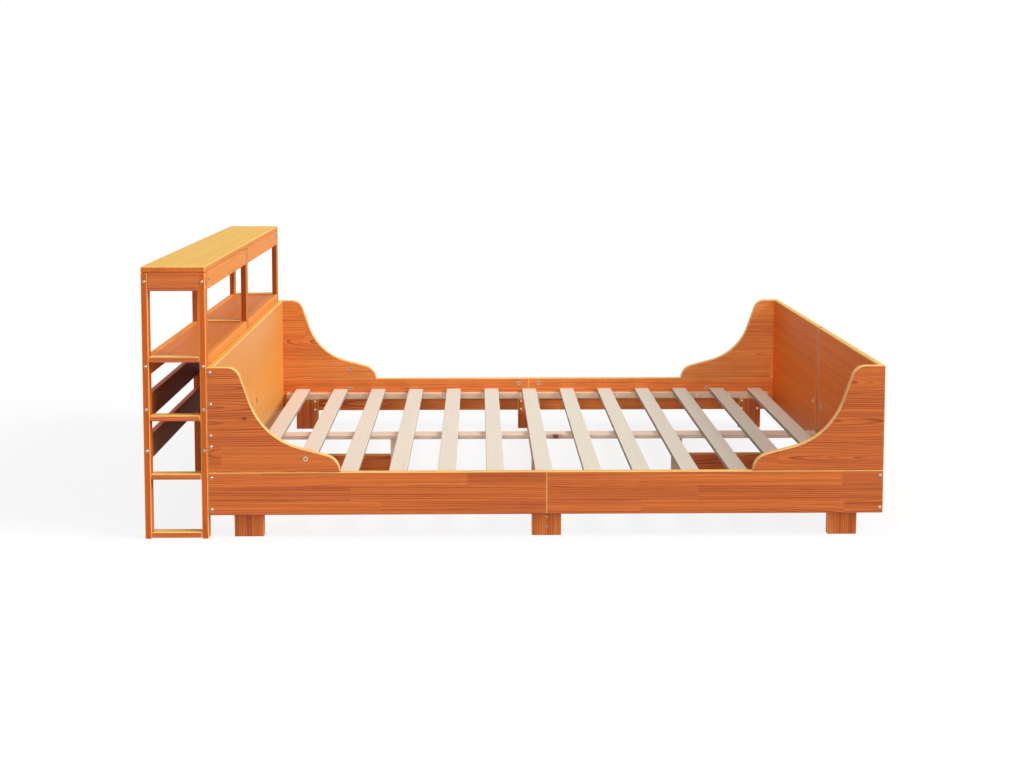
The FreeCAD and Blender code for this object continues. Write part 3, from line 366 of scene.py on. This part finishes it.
# the rear boards' faces towards the foot end take painted shade
backBoard = {"along": "Y", "through": "X", "strip": solid, "finish": mattStain, "shadeSides": (0.0, 0.85),
             "edgeWearAndHighlight": 0.1}
families = {
    # the headboard's back takes painted shade
    "headboard": {"along": "Y", "through": "X", "strip": (3.0, 0.12, 1.0), "finish": plainStain,
                  "upLight": 1.0, "footLight": 0.42, "shadeSides": (0.7, 0.0)},
    # the footboard's outer face is darkened with the shade brown, to tone its brighter panel stain down
    "footboard": {"along": "Y", "through": "X", "strip": (3.0, 0.12, 1.0), "finish": panelStain,
                  "upLight": 1.0, "shadeSides": (0.0, 0.4)},
    "footboard_stile": {"along": "Z", "through": "X", "strip": solid},
    "side_rail": {"along": "X", "through": "Y", "strip": glued, "upLight": 1.0},
    "side_rail_far": {"along": "X", "through": "Y", "strip": glued, "finish": brightStain, "upLight": 1.0},
    "wing": {"along": "X", "through": "Y", "strip": (0.45, 0.0805, 1.0), "evenStrips": True, "upLight": 1.0},
    "wing_far": {"along": "X", "through": "Y", "strip": (0.45, 0.0805, 1.0), "evenStrips": True,
                 "finish": farWingStain, "upLight": 1.0},
    "feet": {"along": "Z", "through": "Y", "strip": (1.0, 0.0181, 1.0), "finish": stripedStain},
    "lower_boards": {"along": "X", "through": "Y", "strip": glued, "upLight": 0.6},
    "cross_boards": {"along": "Y", "through": "X", "strip": (0.62, 0.037, 1.0), "evenStrips": True,
                     "upLight": 0.6},
    "post": {"along": "Z", "through": "X", "strip": solid, "finish": postStain, "footLight": 0.1,
             "raisedWearAndHighlight": 0.0},
    "post_middle": innerPost,
    "post_far": innerPost,
    "top_board": {"along": "Y", "through": "Z", "strip": (0.8, 0.06, 1.0), "finish": topStain,
                  "upLight": 1.0, "footLight": 0.3},
    "cross_apron": {"along": "X", "through": "Y", "strip": (5.0, 0.03, 1.0), "edgeWearAndHighlight": 0.1},
    "rungs": {"along": "X", "through": "Y", "strip": (5.0, 0.179, 5.0), "upLight": 1.0},
    "top_apron": {"along": "Y", "through": "X", "strip": (0.7, 0.2, 1.0), "finish": apronStain,
                  "footLight": 0.42, "edgeWearAndHighlight": 0.1},
    "shelf_rail": {"along": "Y", "through": "X", "strip": solid, "finish": apronStain, "upLight": 0.45,
                   "footLight": 0.42, "edgeWearAndHighlight": 0.1},
    "shelf": {"along": "Y", "through": "Z", "strip": (0.8, 0.05, 1.0), "finish": shelfStain, "upLight": 0.15,
              "edgeWearAndHighlight": 0.2},
    "upper_board": backBoard,
    "lower_board": backBoard,
    # the slats' long sides take painted shade
    "slats": {"along": "Y", "through": "Z", "strip": (5.0, slatPitch, 5.0), "finish": bare,
              "shadeSides": (0.6, 0.6)},
    "centre_beam": {"along": "X", "through": "Z", "strip": solid, "finish": beamPine},
    "ledgers": {"along": "X", "through": "Y", "strip": (1.0, 0.7, 1.0), "finish": ledgerPine},
    "beam_legs": {"along": "Z", "through": "Y", "strip": (5.0, 0.3, 5.0), "finish": beamPine},
    "dowels": {"along": "Y", "through": "Z", "strip": (0.1, 0.1, 0.1), "finish": beamPine},
}
knots = {                        # place and size
    "wing_near_head": ((-0.8186, -0.7250, 0.3696), 0.35),
    "centre_beam": ((0.1620, -0.0285, 0.1450), 1.2),
}
noKnot = ((9.0, 9.0, 9.0), 1.0)  # far outside every board
seedStep = 9.4                   # gives each board a figure of its own
twins = {"headboard": ("_lower", "_upper"), "footboard": ("_lower", "_upper")}   # halves cut from one panel


def familyOf(name):
    matches = [family for family in families if name.startswith(family)]
    return max(matches, key=len)


def boardOf(name):
    for mark in twins.get(familyOf(name), ()):
        name = name.replace(mark, "")
    return name


def centreOf(pieces):
    boxes = [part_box(piece) for piece in pieces]
    low = Vector([min(box[0][i] for box in boxes) for i in range(3)])
    high = Vector([max(box[1][i] for box in boxes) for i in range(3)])
    return (low + high) / 2


def finishWood():
    boards = {}
    for name in sorted(nodes):
        if name not in fastenerFinish:
            boards.setdefault(boardOf(name), []).append(name)
    for seed, (board, pieces) in enumerate(boards.items()):
        family = dict(families[familyOf(board)])
        centre = centreOf(pieces)
        if family.pop("evenStrips", False):
            across = axis(family["through"]).cross(axis(family["along"]))
            centre += across * family["strip"][1] / 2
        knot = knots.get(board, noKnot)
        finish = family.pop("finish", stain)
        material = pine("pine_" + board, finish, centre=centre, seed=seed * seedStep, knot=knot, **family)
        for piece in pieces:
            dress(piece, material)


def dress(name, material):
    piece = nodes[name]
    for slot in piece.material_slots:
        slot.material = material
    if not piece.material_slots:
        piece.data.materials.append(material)


boltSteel = plated("boltSteel", (0.80, 0.77, 0.73), (0.40, 0.38, 0.36), 0.17)
nutSteel = plated("nutSteel", (0.84, 0.80, 0.75), (0.60, 0.56, 0.52), 0.26)
screwSteel = plated("screwSteel", (0.88, 0.85, 0.80), (0.66, 0.62, 0.57), 0.30)
fastenerFinish = {"bolts": boltSteel, "nuts": nutSteel, "screws": screwSteel}
for fastener, finish in fastenerFinish.items():
    dress(fastener, finish)
print("fasteners finished")


# Studio: pale floor, white surroundings, soft lamps

def seenRays(add, calc):
    rays = add("LightPath").outputs
    seen = calc("ADD", rays["Is Camera Ray"], rays["Is Glossy Ray"])
    return calc("ADD", seen, rays["Is Transmission Ray"], clamp=True)


studio = {
    "floorReach": 30.0,
    "floorColour": (0.52, 0.52, 0.52),
    "floorSeen": (0.98, 0.98, 0.98),
    "floorWhite": 0.84,          # share of plain white that the camera sees in the floor
    "ambient": 0.25,
    "lamps": {                   # strength, softness in degrees, direction the light travels
        "keyLamp": (2.6, 28.0, (-0.79, 0.25, -0.56)),
        "topLamp": (0.6, 36.0, (0.0, 0.10, -1.0)),
        "frontLamp": (0.9, 40.0, (0.25, 0.88, -0.42)),
    },
}


def makeFloor():
    mesh = bpy.data.meshes.new("floor")
    shape = bmesh.new()
    bmesh.ops.create_grid(shape, x_segments=1, y_segments=1, size=studio["floorReach"])
    shape.to_mesh(mesh)
    shape.free()
    floor = bpy.data.objects.new("floor", mesh)
    scene.collection.objects.link(floor)
    material = bpy.data.materials.new("paleFloor")
    material.use_nodes = True
    tree = material.node_tree
    tree.nodes.clear()
    add, calc, _, blend = addTo(tree)
    seen = seenRays(add, calc)
    tone = blend(seen, studio["floorColour"], studio["floorSeen"])
    matt = add("BsdfDiffuse", {"Color": tone}).outputs[0]
    white = add("Emission", {"Color": (1, 1, 1, 1), "Strength": 1.0}).outputs[0]
    mix = add("MixShader", {0: calc("MULTIPLY", seen, studio["floorWhite"]), 1: matt, 2: white})
    wire(tree, mix.outputs[0], add("OutputMaterial").inputs[0])
    mesh.materials.append(material)


def makeWorld():
    world = bpy.data.worlds.new("studio")
    scene.world = world
    world.use_nodes = True
    tree = world.node_tree
    tree.nodes.clear()
    add, calc, *_ = addTo(tree)
    dim = add("Background", {"Color": (1, 1, 1, 1), "Strength": studio["ambient"]}).outputs[0]
    white = add("Background", {"Color": (1, 1, 1, 1), "Strength": 1.0}).outputs[0]
    mix = add("MixShader", {0: seenRays(add, calc), 1: dim, 2: white})
    wire(tree, mix.outputs[0], add("OutputWorld").inputs[0])


def makeLamp(name, strength, softness, direction):
    data = bpy.data.lights.new(name, "SUN")
    data.energy = strength
    data.angle = math.radians(softness)
    lamp = bpy.data.objects.new(name, data)
    lamp.rotation_euler = Vector(direction).to_track_quat("-Z", "Y").to_euler()
    scene.collection.objects.link(lamp)


makeFloor()
makeWorld()
for name, (strength, softness, direction) in studio["lamps"].items():
    makeLamp(name, strength, softness, direction)
scene.view_settings.view_transform = "Standard"
print("studio lit")


# Camera, fitted to the bed's corners in the photograph

view = {
    "place": (-0.1147, -4.6776, 1.2814),
    "down": 4.09,               # degrees below level
    "right": 0.779,             # degrees towards the foot end
    "lens": 46.659,
    "shift": (0.0159, -0.17),
}


def makeCamera():
    data = bpy.data.cameras.new("camera")
    data.lens = view["lens"]
    data.shift_x, data.shift_y = view["shift"]
    camera = bpy.data.objects.new("camera", data)
    camera.location = view["place"]
    camera.rotation_euler = (math.radians(90 - view["down"]), 0, math.radians(-view["right"]))
    scene.collection.objects.link(camera)
    scene.camera = camera


makeCamera()
finishWood()
print("pine finished")
